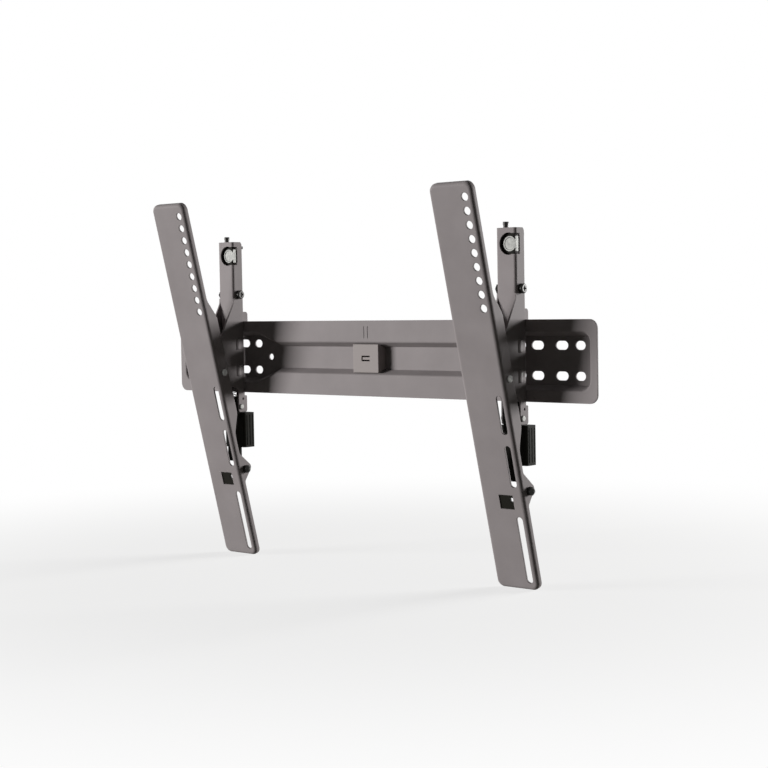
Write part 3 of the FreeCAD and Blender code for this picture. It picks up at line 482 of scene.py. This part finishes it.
def floor_paper():
    """Matt paper near the object that turns to plain white with distance."""
    material, tree, output, place = new_material("pale_floor")
    away = add(tree, "ShaderNodeVectorMath", {0: place}, operation="LENGTH")
    fade = add(tree, "ShaderNodeMapRange", {"Value": away.outputs["Value"], "From Min": FLOOR_FADE[0],
                                            "From Max": FLOOR_FADE[1], "To Min": FLOOR_GLOW},
               interpolation_type="SMOOTHSTEP")
    seen = add(tree, "ShaderNodeMath", {0: fade.outputs[0], 1: seen_rays(tree)}, operation="MULTIPLY")
    tone = add(tree, "ShaderNodeMixRGB", {0: seen_rays(tree), 1: linear("#77766f"), 2: linear("#f4f3f1")})
    paper = add(tree, "ShaderNodeBsdfDiffuse", {"Color": tone.outputs[0]})
    white = add(tree, "ShaderNodeEmission", {"Color": WHITE, "Strength": 1.0})
    mix = add(tree, "ShaderNodeMixShader", {0: seen.outputs[0], 1: paper.outputs[0], 2: white.outputs[0]})
    tree.links.new(mix.outputs[0], output.inputs["Surface"])
    return material


floor_z = cad_box[0][2] - FLOOR_GAP_MM * MM
angle = np.arange(FLOOR_POINTS) * 2 * np.pi / FLOOR_POINTS
floor_rim = np.stack([FLOOR_RADIUS * np.cos(angle), FLOOR_RADIUS * np.sin(angle),
                      np.full(FLOOR_POINTS, floor_z)], 1)
floor_mesh = bpy.data.meshes.new("floor")
floor_mesh.from_pydata(floor_rim.tolist(), [], [list(range(FLOOR_POINTS))])
floor = bpy.data.objects.new("floor", floor_mesh)
bpy.context.scene.collection.objects.link(floor)
floor_mesh.materials.append(floor_paper())

world = bpy.data.worlds.new("studio")
bpy.context.scene.world = world
world.use_nodes = True
sky = world.node_tree
sky.nodes.clear()
around = add(sky, "ShaderNodeBackground", {"Color": WHITE, "Strength": AMBIENT})
backdrop = add(sky, "ShaderNodeBackground", {"Color": WHITE, "Strength": 1.0})
both = add(sky, "ShaderNodeMixShader", {0: seen_rays(sky), 1: around.outputs[0], 2: backdrop.outputs[0]})
add(sky, "ShaderNodeOutputWorld", {"Surface": both.outputs[0]})
print(f"floor at z = {floor_z / MM:.1f} mm")

# %% [markdown]
# Two large soft lights stand opposite each other, so that every fold has one lit side and a dark line where
# it turns away from both: the key at the left and in front, and the fill at the right and behind.

# %% Lights
TARGET = Vector((0.0, -0.05, 0.0))


def soft_light(name, place, width, height, watts):
    """Flat light, wider than high, that looks at the middle of the object."""
    lamp = bpy.data.lights.new(name, "AREA")
    lamp.shape = "RECTANGLE"
    lamp.size = width
    lamp.size_y = height
    lamp.energy = watts
    holder = bpy.data.objects.new(name, lamp)
    holder.location = place
    holder.rotation_euler = (TARGET - Vector(place)).to_track_quat("-Z", "Y").to_euler()
    bpy.context.scene.collection.objects.link(holder)


soft_light("key_left_front", (-4.6, -4.9, 0.4), 2.6, 1.2, 680.0)
soft_light("fill_right_back", (1.7, 3.3, 0.5), 2.0, 1.4, 250.0)
print("two soft lights")

# %% [markdown]
# The camera was fitted to the photograph: from the straight edges of the plate and the even row of holes in
# the brackets. It stands to the right, a little above the plate, and is rolled slightly.

# %% Camera
CAMERA_PLACE = (1.2644, -1.4447, 0.0687)
YAW, PITCH, ROLL = (math.radians(degrees) for degrees in (40.8506, -2.9796, -1.0025))
LENS_MM = 75.507
SENSOR_MM = 36.0

ahead = Vector((-math.sin(YAW) * math.cos(PITCH), math.cos(YAW) * math.cos(PITCH), math.sin(PITCH)))
level_right = Vector((math.cos(YAW), math.sin(YAW), 0.0))
level_up = level_right.cross(ahead)
right = level_right * math.cos(ROLL) + level_up * math.sin(ROLL)
up = right.cross(ahead)
lens = bpy.data.cameras.new("photo_view")
lens.lens = LENS_MM
lens.sensor_width = SENSOR_MM
camera = bpy.data.objects.new("photo_view", lens)
turn = Matrix((right, up, -ahead)).transposed().to_4x4()
camera.matrix_world = Matrix.Translation(CAMERA_PLACE) @ turn
bpy.context.scene.collection.objects.link(camera)
bpy.context.scene.camera = camera
bpy.context.scene.view_settings.view_transform = "Standard"
print("camera set")
